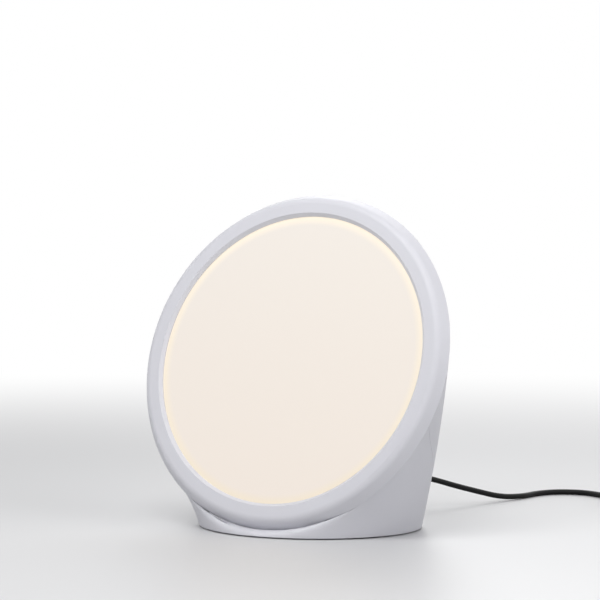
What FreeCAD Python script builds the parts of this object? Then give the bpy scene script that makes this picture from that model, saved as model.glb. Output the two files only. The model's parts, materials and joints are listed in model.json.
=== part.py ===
"""Light therapy lamp: a round, edge-lit light panel that leans back on a bucket-shaped base.

Millimetres. +Z is up and the lamp faces -Y. The origin is on the table, at the centre of the base's
outline. The disc pieces are drawn flat, with +Z out of the lit face, and are then leant back and moved
to the disc's centre.
"""
import FreeCAD
import Part
import math
import os

V = FreeCAD.Vector
X_AXIS = V(1, 0, 0)
Y_AXIS = V(0, 1, 0)
Z_AXIS = V(0, 0, 1)
ORIGIN = V(0, 0, 0)
FAR = 400.0                      # longer than the lamp, for cutting tools
TINY = 0.01                      # tolerance for picking edges
PAST = 1.0                       # how far a cutting tool or a root runs past a face

# Lamp as a whole
bezel_radius = 125.0
tilt_deg = 18.0
foot_height = 1.0                # how far the rubber feet stand proud
rim_clearance = 4.52             # bezel's lowest edge above the base's bottom edge
disc_forward = 30.5              # lit face's centre ahead of the base's centre
base_half_width = 83.0
base_half_depth = 76.0

# Bezel
face_width = 18.1                # bezel's side to the window's edge
bezel_rise = 2.2                 # face above the window's edge, which is the disc's zero plane
chamfer_width = 2.2
bezel_taper = 5.5                # face narrower than the side wall's end, all round
bezel_round = 6.0                # between the face and the tapered side
bezel_depth = 6.4                # side wall's end, behind the window's edge
lip_thickness = 1.0
bezel_wall = 3.0
lip_width = 4.8                  # window's edge to the ring that carries the light strip
rib_wall = 1.3
rib_overrun = 0.1                # ring's end behind the light guide
bezel_boss_count = 8
bezel_boss_radius = 2.5
bezel_boss_root = 0.5            # boss's root inside the bezel's face

# Light panel, from the front to the back
diffuser_thickness = 2.0
guide_thickness = 3.0
reflector_thickness = 0.3
foam_thickness = 1.0
plate_thickness = 1.2
plate_margin = 2.8               # back plate beyond the circle of its screws
plate_room = 1.0                 # space in the shells round the back plate
panel_slack = 0.4                # radial room round the diffuser
strip_thickness = 0.4
strip_gap = 0.1
strip_width = 2.7
led_count = 72
led_depth = 1.5
led_width = 3.0
led_height = 2.2
led_gap = 0.6                    # between a light-emitting diode and the guide's edge
standoff_radius = 3.2
standoff_length = 5.5
standoff_spots = ((31.0, 35.5), (35.1, -17.8))    # inset from the plate's edge, and degrees above the middle
wire_slot_radius = 4.0
wire_slot_inset = 21.0           # slot's centre from the plate's lowest edge

# Shells
shell_wall = 2.4
shell_step = 0.5                 # bezel's side beyond the shell's rim
shell_rim_land = 3.4             # width of the shell's front edge
shell_rim_gap = 0.7              # shadow gap between the bezel's side wall and the shell's rim
bezel_gap = 0.25                 # between the bezel's side and the base's front lip
seam_gap = 0.3
waist_widen = 2.2                # the middle section beyond the mean of rim and foot, to each side
waist_dome = 14.0                # the same at the back, half of it
waist_fill = 3.0                 # the same at the front, square to the section
split_height = 83.0              # seam of base and rear housing, at the split_forward line
split_forward = 38.5
split_slope_deg = 33.4
lap_height = 3.0
lap_root = 1.0
lap_clearance = 0.2

# Bottom
cover_inset = 3.7
cover_clearance = 0.3
cover_recess = 0.5
cover_thickness = 2.8
ledge_inset = 9.0
ledge_thickness = 2.4
foot_pad_radius = 7.0
foot_pad_sink = 0.8
foot_pad_clearance = 0.1
foot_pad_round = 0.5
foot_spots = ((15.9, -39.2), (14.4, 45.6))        # inset from the base's outline, and degrees round it
shell_post_radius = 4.5
shell_post_height = 14.0
base_post_spots = ((11.6, -29.8), (12.1, 16.4))   # the same
rear_post_spots = ((17.5, 62.7),)
rear_post_height = 36.0
rib_thickness = 2.0

# Screws: head radius, head height, shank radius, shank length
small_screw = (2.5, 1.3, 1.0, 4.6)
cover_screw = (2.8, 1.4, 1.4, 9.0)
well_screw = (2.8, 2.0, 1.4, 6.5)
ballast_screw = (4.2, 1.8, 1.4, 5.0)
thread_clearance = 0.05
hole_clearance = 0.4
pilot_room = 0.5                 # pilot hole beyond its screw's tip
head_room = 0.3                  # space over the head of a screw in the back plate
recess_width = 0.6               # arms of the cross recess
recess_share = 0.9               # recess's length, of the head's radius
recess_depth_share = 0.5         # recess's depth and the head's round, of the head's height

# Wells in the rear housing, for the screws that hold the disc
well_radius = 4.8
well_bore = 3.5
well_floor = 2.4

# Ballast
ballast_size = (104.0, 46.0, 6.0)
ballast_forward = 14.0
ballast_round = 3.0
ballast_stub_radius = 2.9
ballast_stub_inset = 8.0
ballast_stub_clearance = 0.3
ballast_stub_drop = 0.2          # stub's top below the plate's top, so that the screws clamp the plate

# Driver board, on posts of the bottom cover
board_size = (72.0, 36.0, 1.6)
board_inset = 47.0               # board's centre from the base's back edge
board_height = 18.0
board_post_radius = 3.0
board_post_inset = 4.0
inductor_size = (2.0, 6.5, 7.0)                   # bore radius, radius, height
inductor_place = (-14.0, 2.0)                     # from the board's centre, as all places on it
capacitor_size = (4.0, 11.0)                      # radius, height
capacitor_places = ((6.0, 6.0), (16.0, 6.0))
chips = (((5.0, 4.0, 1.6), (4.0, -6.0)), ((10.0, 7.0, 2.4), (-1.0, -14.0)),
         ((5.0, 4.0, 1.6), (14.0, -6.0)))         # size, place
connector_size = (9.0, 5.0, 6.0)
connector_wall = 0.8
connector_floor = 2.0
side_connector_place = (24.0, -8.0)               # lamp and key connectors, either side
rear_connector_inset = 4.0                        # socket connector from the board's back edge

# Control panel on the back, in its own leaning frame: across, up the slope, out
controls_height = 140.0
controls_half_width = 13.0
controls_half_length = 40.0
controls_sink = 0.3              # panel's face below the line between the pocket's ends
controls_thickness = 1.6
controls_clearance = 0.2
pad_margin = 5.0
pad_depth = 8.0
window_margin = 3.2
button_radius = 5.0
button_clearance = 0.2
button_rise = 1.0
button_flange = 1.1
button_flange_thickness = 1.0
button_travel = 0.8
cap_round = 0.6
root_overlap = 0.2               # how far joined parts of one piece run into each other
button_places = (("power_button", 28.5), ("colour_button", 15.2), ("brighter_button", 1.9),
                 ("dimmer_button", -11.4), ("timer_button", -24.7))
flange_gap = 0.3
stem_radius = 1.5
stem_gap = 0.2                   # stem above the switch's floor, when pressed
switch_size = (6.0, 6.0, 3.5)
switch_bore = 1.75
switch_floor = 1.2
key_board_thickness = 1.6
key_board_half_width = 14.0
indicator_count = 6
indicator_pitch = 2.6
indicator_place = -32.2
indicator_radius = 0.9
indicator_clearance = 0.1
indicator_led = (1.6, 1.2, 0.8)
pipe_gap = 0.2                   # between a timer light and its window

# Vents under the panel
vent_count = 9
vent_pitch = 6.0
vent_width = 2.4
vent_length = 16.0
vent_height = 60.0

# Power socket and the plug in it
jack_height = 26.0
jack_inset = 7.2                 # flat for the socket, from the base's back edge
jack_flat_radius = 9.5
jack_radius = 5.6
jack_flange_radius = 7.2
jack_flange = 1.2
jack_length = 14.0
jack_bore = 2.9
jack_bore_depth = 9.6
jack_pin = 0.95
jack_pin_recess = 1.5
jack_clearance = 0.1
jack_pad_radius = 11.5
jack_pad = 4.0
jack_nut_radius = 7.8
jack_nut_thickness = 2.2
barrel_radius = 2.75
barrel_bore = 1.2
barrel_length = 8.8
barrel_floor = 1.0
plug_radius = 5.0
plug_length = 22.0
plug_round = 0.8
plug_gap = 0.3
relief_length = 14.0
relief_radius = 3.7
relief_lip = 0.5                 # relief's thin end beyond the cord

# Cord
cord_diameter = 4.4
arc_share = 0.45                 # share of the shorter run that a bend uses
cord_route = (
    (0.0, 106.3, 26.0), (0.0, 122.0, 26.0), (13.0, 137.0, 25.4), (27.0, 149.0, 21.0),
    (34.0, 165.0, 15.8), (43.0, 187.0, 9.6), (54.0, 209.0, 3.4), (62.5, 232.0, 2.2),
    (63.0, 256.0, 2.2), (73.0, 276.0, 2.2), (95.0, 282.0, 2.2), (116.0, 270.0, 2.2),
    (132.0, 258.5, 2.8))

# Coil of the put-away length, its tie and the wall adapter
coil_start = (146.0, 248.4)
coil_heading_deg = -35.8
coil_outer_radius = 30.0
coil_pitch = 5.9
coil_layer = 4.9
coil_layers = 4
coil_turns_per_layer = 2
coil_lead = 4.4
coil_end_run = 22.0
tie_thickness = 0.6
tie_width = 4.0
tie_room = 0.8
adapter_size = (64.0, 44.0, 30.0)
adapter_round = 4.0
adapter_relief_length = 14.0
blade_size = (16.0, 6.4, 1.5)
blade_pitch = 12.7

# Wires inside: radius, and spacing in their ribbon
lamp_wire = (0.8, 2.4)
key_wire = (0.6, 1.6)
jack_wire = (0.8, 3.0)
wire_gap = 0.2                   # wire's end to the face that it meets
wire_rise = 12.0                 # straight rise out of a connector
jack_wire_rise = 5.0
lamp_wire_pass = 25.0            # bend ahead of the lamp connector
lamp_wire_approach = (12.0, 6.0)                  # behind and above the slot in the back plate
key_wire_pass = 8.0              # bend behind the key connector
key_wire_drop = 18.0             # the same bend below the wires' end on the key board
key_wire_approach = (12.0, 2.0)                   # ahead of and below the key board's end
key_wire_inset = 8.0             # wires' end from the panel's lower end
jack_wire_approach = (4.0, 3.0)                   # ahead of the socket: the bend down, and the bend in


# Values that follow from the sizes above
tilt = math.radians(tilt_deg)
disc_centre = V(0, -disc_forward, foot_height + rim_clearance + bezel_radius * math.cos(tilt))
disc_up = V(0, math.sin(tilt), math.cos(tilt))
disc_out = V(0, -math.cos(tilt), math.sin(tilt))
window_radius = bezel_radius - face_width
rib_radius = window_radius + lip_width
guide_radius = rib_radius - 2 * strip_gap - strip_thickness - led_depth - led_gap
bezel_boss_circle = rib_radius + bezel_boss_radius
plate_radius = bezel_boss_circle + plate_margin
shell_rim_radius = bezel_radius - shell_step
shell_rim_depth = bezel_depth + shell_rim_gap
diffuser_back = -lip_thickness - diffuser_thickness
guide_back = diffuser_back - guide_thickness
reflector_back = guide_back - reflector_thickness
foam_back = reflector_back - foam_thickness
plate_back = foam_back - plate_thickness
well_seat = plate_back - standoff_length
cover_bottom = foot_height + cover_recess
cover_top = cover_bottom + cover_thickness
ledge_top = cover_top + ledge_thickness
board_back = base_half_depth - board_inset
board_top = board_height + board_size[2]
jack_flat = base_half_depth - jack_inset
cord_radius = cord_diameter / 2
coil_floor = tie_thickness + cord_radius


def cylinder(radius, low, high, x=0.0, y=0.0):
    """Upright cylinder between two heights."""
    return Part.makeCylinder(radius, high - low, V(x, y, low), Z_AXIS)


def ring(inner, outer, low, high):
    """Upright flat ring between two heights."""
    return cylinder(outer, low, high).cut(cylinder(inner, low - PAST, high + PAST))


def block(size_x, size_y, low, high, x=0.0, y=0.0):
    """Upright box centred on a point of the plan."""
    return Part.makeBox(size_x, size_y, high - low, V(x - size_x / 2, y - size_y / 2, low))


def stadium(half_width, half_length, low, high):
    """Upright slab with round ends along Y."""
    straight = half_length - half_width
    slab = block(2 * half_width, 2 * straight, low, high)
    for end in (-straight, straight):
        slab = slab.fuse(cylinder(half_width, low, high, 0, end))
    return slab.removeSplitter()


def mirrored(places):
    """Each place and its twin on the other side."""
    return [(side * x, y) for x, y in places for side in (1, -1)]


def on_base(spots):
    """Places on both sides of the base, from an inset from its outline and an angle round it."""
    places = []
    for inset, angle_deg in spots:
        turn = math.radians(angle_deg)
        reach = (base_half_width - inset, base_half_depth - inset)
        places.append((reach[0] * math.cos(turn), reach[1] * math.sin(turn)))
    return mirrored(places)


def joined(first, others):
    """One solid from pieces that overlap."""
    return first.multiFuse(others)


def save(name, shape):
    """Write one piece, with its parts as separate solids."""
    shape.exportStep("parts/" + name + ".step")


def on_disc(shape):
    """Lean a flat piece back and move it to the disc's centre."""
    moved = shape.copy()
    moved.rotate(ORIGIN, X_AXIS, 90 - tilt_deg)
    moved.translate(disc_centre)
    return moved


def disc_point(across, up, out):
    return disc_centre + X_AXIS * across + disc_up * up + disc_out * out


def screw(size, x, y, seat, down=True):
    """Pan-head screw whose head rests on the height seat; its shank goes down, or else up."""
    head_radius, head_height, shank_radius, shank_length = size
    turn = 1 if down else -1
    head = Part.makeCylinder(head_radius, head_height, V(x, y, seat), Z_AXIS * turn)
    outer = [e for e in head.Edges if abs(e.CenterOfMass.z - seat - turn * head_height) < TINY]
    head = head.makeFillet(head_height * recess_depth_share, outer[:1])
    shank = Part.makeCylinder(shank_radius, shank_length, V(x, y, seat), Z_AXIS * -turn)
    slot = head_radius * recess_share
    cross = block(slot, recess_width, 0, head_height, x, y)
    cross = cross.fuse(block(recess_width, slot, 0, head_height, x, y))
    cross.translate(V(0, 0, seat + turn * head_height * recess_depth_share - (0 if down else head_height)))
    return head.fuse(shank).cut(cross).removeSplitter()


def section(half_width, half_depth, lean_deg, centre):
    """Closed elliptical section of the body in four quarters, leant about X."""
    circle = Part.Circle(ORIGIN, Z_AXIS, 1.0)
    stretch = FreeCAD.Matrix()
    stretch.scale(half_width, half_depth, 1.0)
    edges = []
    for quarter in range(4):
        arc = Part.ArcOfCircle(circle, quarter * math.pi / 2, (quarter + 1) * math.pi / 2).toShape()
        edge = arc.transformGeometry(stretch)
        edge.rotate(ORIGIN, X_AXIS, lean_deg)
        edge.translate(centre)
        edges.append(edge)
    return Part.Wire(edges)


def body(inset):
    """The bucket from the disc's rim to the table, drawn in by a share of the shell's wall."""
    rim_radius = shell_rim_radius - shell_rim_land * inset / shell_wall
    rim_centre = disc_point(0, 0, -shell_rim_depth)
    foot_centre = V(0, 0, foot_height)
    reach = (disc_up * rim_radius + Y_AXIS * (base_half_depth - inset)) * 0.5
    along = reach / reach.Length
    square = V(0, -along.z, along.y)
    waist_centre = (rim_centre + foot_centre) * 0.5 + along * waist_dome + square * waist_fill
    waist_lean = math.degrees(math.atan2(along.z, along.y))
    waist_width = (rim_radius + base_half_width - inset) / 2 + waist_widen
    return Part.makeLoft([
        section(rim_radius, rim_radius, 90 - tilt_deg, rim_centre),
        section(waist_width, reach.Length + waist_dome, waist_lean, waist_centre),
        section(base_half_width - inset, base_half_depth - inset, 0, foot_centre)], True, False)


def split_slab(low, high):
    """Everything between two distances from the seam plane of base and rear housing."""
    slab = block(2 * FAR, 2 * FAR, low, high)
    slab.rotate(ORIGIN, X_AXIS, -split_slope_deg)
    slab.translate(V(0, -split_forward, split_height))
    return slab


def foot_oval(inset, low, high):
    """Upright slab with the base's outline, drawn in."""
    across = base_half_width - inset
    deep = base_half_depth - inset
    outline = Part.Ellipse(V(0, 0, low), max(across, deep), min(across, deep)).toShape()
    if deep > across:
        outline.rotate(ORIGIN, Z_AXIS, 90)
    return Part.Face(Part.Wire([outline])).extrude(V(0, 0, high - low))


def bezel_room():
    """Space of the bezel in front of the shells, and of the light panel behind it."""
    wide = bezel_radius + bezel_gap
    narrow = wide - bezel_taper
    back = -bezel_depth - bezel_gap
    outline = [V(0, 0, back), V(wide, 0, back), V(wide, 0, -bezel_depth),
               V(narrow, 0, bezel_rise), V(narrow, 0, FAR), V(0, 0, FAR)]
    front = Part.Face(Part.makePolygon(outline + outline[:1])).revolve(ORIGIN, Z_AXIS, 360)
    panel = cylinder(plate_radius + plate_room, plate_back - small_screw[1] - head_room, 0)
    return on_disc(front), on_disc(panel)


def bezel_boss_places():
    turns = [2 * math.pi * (i + 0.5) / bezel_boss_count for i in range(bezel_boss_count)]
    return [(bezel_boss_circle * math.cos(a), bezel_boss_circle * math.sin(a)) for a in turns]


def bezel_corner():
    """Where the round between face and side starts and ends, and its middle, as (radius, height) points."""
    steep = math.atan2(bezel_rise + bezel_depth, bezel_taper)
    tip = V(bezel_radius - bezel_taper, 0, bezel_rise)
    reach = bezel_round * math.tan(steep / 2)
    start = tip - X_AXIS * reach
    end = tip + V(math.cos(steep), 0, -math.sin(steep)) * reach
    centre = start - Z_AXIS * bezel_round
    middle = centre + V(math.sin(steep / 2), 0, math.cos(steep / 2)) * bezel_round
    return start, middle, end


def front_bezel():
    inner_top = bezel_rise - bezel_wall
    start, middle, end = bezel_corner()
    inner_taper = bezel_taper * (inner_top + bezel_depth) / (bezel_rise + bezel_depth)
    before = [V(bezel_radius - bezel_wall - inner_taper, 0, inner_top),
              V(rib_radius + rib_wall, 0, inner_top), V(rib_radius + rib_wall, 0, guide_back - rib_overrun),
              V(rib_radius, 0, guide_back - rib_overrun), V(rib_radius, 0, -lip_thickness),
              V(window_radius, 0, -lip_thickness), V(window_radius, 0, 0),
              V(window_radius + chamfer_width, 0, bezel_rise), start]
    edges = [Part.LineSegment(a, b).toShape() for a, b in zip(before, before[1:])]
    edges.append(Part.Arc(start, middle, end).toShape())
    after = [end, V(bezel_radius, 0, -bezel_depth), V(bezel_radius - bezel_wall, 0, -bezel_depth), before[0]]
    edges += [Part.LineSegment(a, b).toShape() for a, b in zip(after, after[1:])]
    bezel = Part.Face(Part.Wire(edges)).revolve(ORIGIN, Z_AXIS, 360)
    bosses = [cylinder(bezel_boss_radius, foam_back, inner_top + bezel_boss_root, x, y)
              for x, y in bezel_boss_places()]
    bezel = joined(bezel, bosses)
    pilot = small_screw[2] + thread_clearance
    deep = plate_back + small_screw[3] + pilot_room
    for x, y in bezel_boss_places():
        bezel = bezel.cut(cylinder(pilot, foam_back - PAST, deep, x, y))
    return on_disc(bezel)


def light_panel():
    """The flat layers behind the window."""
    radius = rib_radius - panel_slack
    save("diffuser_panel", on_disc(cylinder(radius, diffuser_back, -lip_thickness)))
    save("light_guide", on_disc(cylinder(guide_radius, guide_back, diffuser_back)))
    save("reflector_sheet", on_disc(cylinder(radius, reflector_back, guide_back)))
    save("foam_pad", on_disc(cylinder(guide_radius, foam_back, reflector_back)))
    plate = cylinder(plate_radius, plate_back, foam_back)
    for x, y in bezel_boss_places():
        hole = cylinder(small_screw[2] + hole_clearance, plate_back - PAST, foam_back + PAST, x, y)
        plate = plate.cut(hole)
    slot_up = wire_slot_inset - plate_radius
    plate = plate.cut(cylinder(wire_slot_radius, plate_back - PAST, foam_back + PAST, 0, slot_up))
    save("back_plate", on_disc(plate))
    screws = [screw(small_screw, x, y, plate_back, False) for x, y in bezel_boss_places()]
    save("bezel_screws", on_disc(Part.makeCompound(screws)))


def light_strip():
    """Ribbon of light-emitting diodes round the light guide's edge."""
    outer = rib_radius - strip_gap
    low = guide_back + (guide_thickness - strip_width) / 2
    save("led_strip", on_disc(ring(outer - strip_thickness, outer, low, low + strip_width)))
    face = outer - strip_thickness
    led_low = guide_back + (guide_thickness - led_height) / 2
    led = block(led_depth, led_width, led_low, led_low + led_height, face - strip_gap - led_depth / 2)
    leds = []
    for i in range(led_count):
        copy = led.copy()
        copy.rotate(ORIGIN, Z_AXIS, 360.0 * i / led_count)
        leds.append(copy)
    save("leds", on_disc(Part.makeCompound(leds)))


def standoff_places():
    places = []
    for inset, angle_deg in standoff_spots:
        turn = math.radians(angle_deg)
        places.append(((plate_radius - inset) * math.cos(turn), (plate_radius - inset) * math.sin(turn)))
    return mirrored(places)


def standoffs():
    """Threaded spacers on the back plate, and the screws that come to them from the wells."""
    spacers = []
    screws = []
    for x, y in standoff_places():
        spacer = cylinder(standoff_radius, well_seat, plate_back, x, y)
        thread = cylinder(well_screw[2] + thread_clearance, well_seat - PAST, plate_back + PAST, x, y)
        spacers.append(spacer.cut(thread))
        screws.append(screw(well_screw, x, y, well_seat - well_floor, False))
    save("panel_standoffs", on_disc(Part.makeCompound(spacers)))
    save("panel_screws", on_disc(Part.makeCompound(screws)))


def posts(places, height):
    """Screw posts that rise from the bottom cover."""
    return [cylinder(shell_post_radius, cover_top, height, x, y) for x, y in places]


def post_ribs(places, height):
    """Ribs that tie the screw posts to the wall behind them."""
    ribs = []
    for x, y in places:
        rib = Part.makeBox(base_half_width, rib_thickness, height - ledge_top,
                           V(0, -rib_thickness / 2, ledge_top))
        rib.rotate(ORIGIN, Z_AXIS, math.degrees(math.atan2(y, x)))
        rib.translate(V(x, y, 0))
        ribs.append(rib)
    return ribs


def post_pilots(places):
    pilot = cover_screw[2] + thread_clearance
    top = cover_bottom + cover_screw[1] + cover_screw[3] + pilot_room
    return [cylinder(pilot, cover_top - PAST, top, x, y) for x, y in places]


def base_shell(outer, cavity, front, panel):
    """Front skirt and low rear wall in one, with the ledge that the bottom cover seats on."""
    above_ledge = block(FAR, FAR, ledge_top, FAR)
    hollow = cavity.common(above_ledge)
    hollow = hollow.fuse(foot_oval(ledge_inset, 0, ledge_top + PAST))
    hollow = hollow.fuse(foot_oval(cover_inset, 0, cover_top))
    places = on_base(base_post_spots)
    for post in posts(places, shell_post_height):
        hollow = hollow.cut(post)
    for pilot in post_pilots(places):
        hollow = hollow.fuse(pilot)
    shell = outer.common(split_slab(-FAR, -seam_gap / 2)).cut(hollow).cut(front).cut(panel)
    lap = body(shell_wall / 2 + lap_clearance / 2).cut(cavity)
    lap = lap.common(split_slab(-lap_root, lap_height)).common(above_ledge).cut(front).cut(panel)
    return shell.fuse(lap)


def back_at(outer, height):
    """How far back the body's middle line lies at a height."""
    probe = Part.LineSegment(V(0, 0, height), V(0, FAR, height)).toShape()
    return outer.common(probe).BoundBox.YMax


def controls_frame(outer):
    """Origin, lean in radians and way out of the control panel, on the chord between the pocket's ends."""
    top = back_at(outer, controls_height + controls_half_length)
    bottom = back_at(outer, controls_height - controls_half_length)
    lean = math.atan2(bottom - top, 2 * controls_half_length)
    out = V(0, math.cos(lean), math.sin(lean))
    print("control panel leans", round(math.degrees(lean), 3), "degrees; outward", out)
    return V(0, (top + bottom) / 2, controls_height), lean, out


def on_controls(shape):
    """Move a flat piece, drawn with +Z out of the panel, to the control panel's place."""
    moved = shape.copy()
    moved.rotate(ORIGIN, Z_AXIS, 180)
    moved.rotate(ORIGIN, X_AXIS, math.degrees(controls_lean) - 90)
    moved.translate(controls_origin)
    return moved


def well_tools():
    """Tube, bore and screw hole of each well, in the disc's frame."""
    tubes = []
    bores = []
    for x, y in standoff_places():
        tubes.append(cylinder(well_radius, -FAR / 2, well_seat, x, y))
        bores.append(cylinder(well_bore, -FAR, well_seat - well_floor, x, y))
        bores.append(cylinder(well_screw[2] + hole_clearance, -FAR, well_seat + PAST, x, y))
    return [on_disc(t) for t in tubes], [on_disc(b) for b in bores]


def rear_housing(outer, cavity, front, panel):
    """Back shell with the control pad, the screw wells, the vents and the socket's flat."""
    lap_room = body(shell_wall / 2 - lap_clearance / 2)
    lap_room = lap_room.common(split_slab(-lap_root, lap_height + lap_clearance))
    wall = outer.cut(cavity).common(split_slab(seam_gap / 2, FAR)).cut(lap_room)
    inside = body(shell_wall / 2)
    above_lap = split_slab(lap_height + lap_clearance, FAR)
    places = on_base(rear_post_spots)
    pad = on_controls(stadium(controls_half_width + pad_margin, controls_half_length + pad_margin,
                              -pad_depth, 2 * pad_depth))
    socket_pad = Part.makeCylinder(jack_pad_radius, FAR, V(0, jack_flat - jack_pad, jack_height), Y_AXIS)
    tubes, bores = well_tools()
    extra = [pad, socket_pad] + tubes + post_ribs(places, rear_post_height)
    extra = [piece.common(inside).common(above_lap) for piece in extra]
    extra += [post.common(inside) for post in posts(places, rear_post_height)]
    shell = joined(wall, extra)
    pocket = stadium(controls_half_width + controls_clearance, controls_half_length + controls_clearance,
                     -controls_sink - controls_thickness, 2 * pad_depth)
    window = stadium(controls_half_width - window_margin, controls_half_length - window_margin,
                     -2 * pad_depth, 0)
    tools = post_pilots(places) + bores + [front, panel, on_controls(pocket), on_controls(window)]
    tools += [on_controls(hole) for hole in key_board_holes()]
    tools.append(Part.makeCylinder(jack_flat_radius, FAR, V(0, jack_flat, jack_height), Y_AXIS))
    tools.append(Part.makeCylinder(jack_radius + jack_clearance, FAR, V(0, 0, jack_height), Y_AXIS))
    for i in range(vent_count):
        slot = stadium(vent_width / 2, vent_length / 2, 0, FAR)
        slot.rotate(ORIGIN, X_AXIS, -90)
        slot.translate(V((i - (vent_count - 1) / 2) * vent_pitch, 0, vent_height))
        tools.append(slot)
    for tool in tools:
        shell = shell.cut(tool)
    return shell


def base_cover(front):
    """Bottom plate with the stubs for the ballast and the posts for the driver board."""
    cover = foot_oval(cover_inset + cover_clearance, cover_bottom, cover_top)
    stub_top = cover_top + ballast_size[2] - ballast_stub_drop
    stubs = [cylinder(ballast_stub_radius, cover_top - PAST, stub_top, x, y) for x, y in ballast_holes()]
    risers = [cylinder(board_post_radius, cover_top - PAST, board_height, x, y) for x, y in board_holes()]
    cover = joined(cover, stubs + risers)
    for x, y in ballast_holes():
        deep = cover_top + ballast_size[2] - ballast_screw[3] - pilot_room
        cover = cover.cut(cylinder(ballast_screw[2] + thread_clearance, deep, FAR, x, y))
    for x, y in board_holes():
        pilot = small_screw[2] + thread_clearance
        cover = cover.cut(cylinder(pilot, board_height - small_screw[3], FAR, x, y))
    for x, y in cover_screw_places():
        cover = cover.cut(cylinder(cover_screw[2] + hole_clearance, 0, FAR, x, y))
        cover = cover.cut(cylinder(cover_screw[0] + hole_clearance, 0, cover_bottom + cover_screw[1], x, y))
    for x, y in on_base(foot_spots):
        seat = cylinder(foot_pad_radius + foot_pad_clearance, 0, cover_bottom + foot_pad_sink, x, y)
        cover = cover.cut(seat)
    save("base_cover", cover.cut(front))
    pads = []
    for x, y in on_base(foot_spots):
        pad = cylinder(foot_pad_radius, 0, cover_bottom + foot_pad_sink, x, y)
        pads.append(pad.makeFillet(foot_pad_round, [e for e in pad.Edges if e.BoundBox.ZMax < TINY]))
    save("rubber_feet", Part.makeCompound(pads))
    seat = cover_bottom + cover_screw[1]
    screws = [screw(cover_screw, x, y, seat, False) for x, y in cover_screw_places()]
    save("cover_screws", Part.makeCompound(screws))


def cover_screw_places():
    return on_base(base_post_spots + rear_post_spots)


def ballast_holes():
    x = ballast_size[0] / 2 - ballast_stub_inset
    y = ballast_size[1] / 2 - ballast_stub_inset
    return [(sx * x, sy * y - ballast_forward) for sx in (1, -1) for sy in (1, -1)]


def ballast():
    top = cover_top + ballast_size[2]
    plate = block(ballast_size[0], ballast_size[1], cover_top, top, 0, -ballast_forward)
    upright = [e for e in plate.Edges if abs(e.Length - ballast_size[2]) < TINY]
    plate = plate.makeFillet(ballast_round, upright)
    for x, y in ballast_holes():
        plate = plate.cut(cylinder(ballast_stub_radius + ballast_stub_clearance, 0, FAR, x, y))
    save("ballast_plate", plate)
    save("ballast_screws", Part.makeCompound([screw(ballast_screw, x, y, top) for x, y in ballast_holes()]))


def board_holes():
    x = board_size[0] / 2 - board_post_inset
    y = board_size[1] / 2 - board_post_inset
    return [(sx * x, sy * y + board_back) for sx in (1, -1) for sy in (1, -1)]


def driver_board():
    board = block(board_size[0], board_size[1], board_height, board_top, 0, board_back)
    for x, y in board_holes():
        board = board.cut(cylinder(small_screw[2] + hole_clearance, 0, FAR, x, y))
    save("driver_board", board)
    save("board_screws", Part.makeCompound([screw(small_screw, x, y, board_top) for x, y in board_holes()]))
    bore, radius, height = inductor_size
    core = ring(bore, radius, board_top, board_top + height)
    core.translate(V(inductor_place[0], board_back + inductor_place[1], 0))
    save("inductor", core)
    radius, height = capacitor_size
    cans = [cylinder(radius, board_top, board_top + height, x, board_back + y) for x, y in capacitor_places]
    save("capacitors", Part.makeCompound(cans))
    cases = [block(size[0], size[1], board_top, board_top + size[2], x, board_back + y)
             for size, (x, y) in chips]
    save("driver_chips", Part.makeCompound(cases))
    save("board_connectors", Part.makeCompound([connector(x, y) for x, y in connector_places()]))


def connector_places():
    """Lamp, key and socket connectors on the driver board."""
    back = board_back + board_size[1] / 2 - rear_connector_inset
    across, ahead = side_connector_place
    return [(-across, board_back + ahead), (across, board_back + ahead), (0.0, back)]


def connector(x, y):
    length, width, height = connector_size
    shell = block(length, width, board_top, board_top + height, x, y)
    room = block(length - 2 * connector_wall, width - 2 * connector_wall,
                 board_top + connector_floor, FAR, x, y)
    return shell.cut(room)


def key_board_holes():
    """Pilot holes in the pad for the key board's screws."""
    pilot = small_screw[2] + thread_clearance
    deep = -pad_depth + small_screw[3] - key_board_thickness + pilot_room
    return [cylinder(pilot, -pad_depth - PAST, deep, x, y) for x, y in key_screw_places()]


def key_screw_places():
    y = controls_half_length + pad_margin / 2 - window_margin / 2
    return [(0.0, y), (0.0, -y)]


def control_panel():
    """Plate with the five button holes and the six timer windows."""
    face = -controls_sink
    back = face - controls_thickness
    plate = stadium(controls_half_width, controls_half_length, back, face)
    for _, place in button_places:
        plate = plate.cut(cylinder(button_radius + button_clearance, back - PAST, face + PAST, 0, place))
    for x in indicator_columns():
        hole = indicator_radius + indicator_clearance
        plate = plate.cut(cylinder(hole, back - PAST, face + PAST, x, indicator_place))
    save("control_panel", on_controls(plate))


def indicator_columns():
    return [(i - (indicator_count - 1) / 2) * indicator_pitch for i in range(indicator_count)]


def buttons():
    """Round keys: cap through the panel, flange behind it, stem into its switch."""
    face = -controls_sink
    back = face - controls_thickness
    flange_top = back - flange_gap
    flange_low = flange_top - button_flange_thickness
    stem_low = -pad_depth + switch_floor + button_travel + stem_gap
    for name, place in button_places:
        cap = cylinder(button_radius, flange_low, face + button_rise, 0, place)
        cap = cap.makeFillet(cap_round, [e for e in cap.Edges if e.BoundBox.ZMin > face])
        flange = cylinder(button_radius + button_flange, flange_low, flange_top, 0, place)
        stem = cylinder(stem_radius, stem_low, flange_low + root_overlap, 0, place)
        save(name, on_controls(joined(cap, [flange, stem])))


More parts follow.
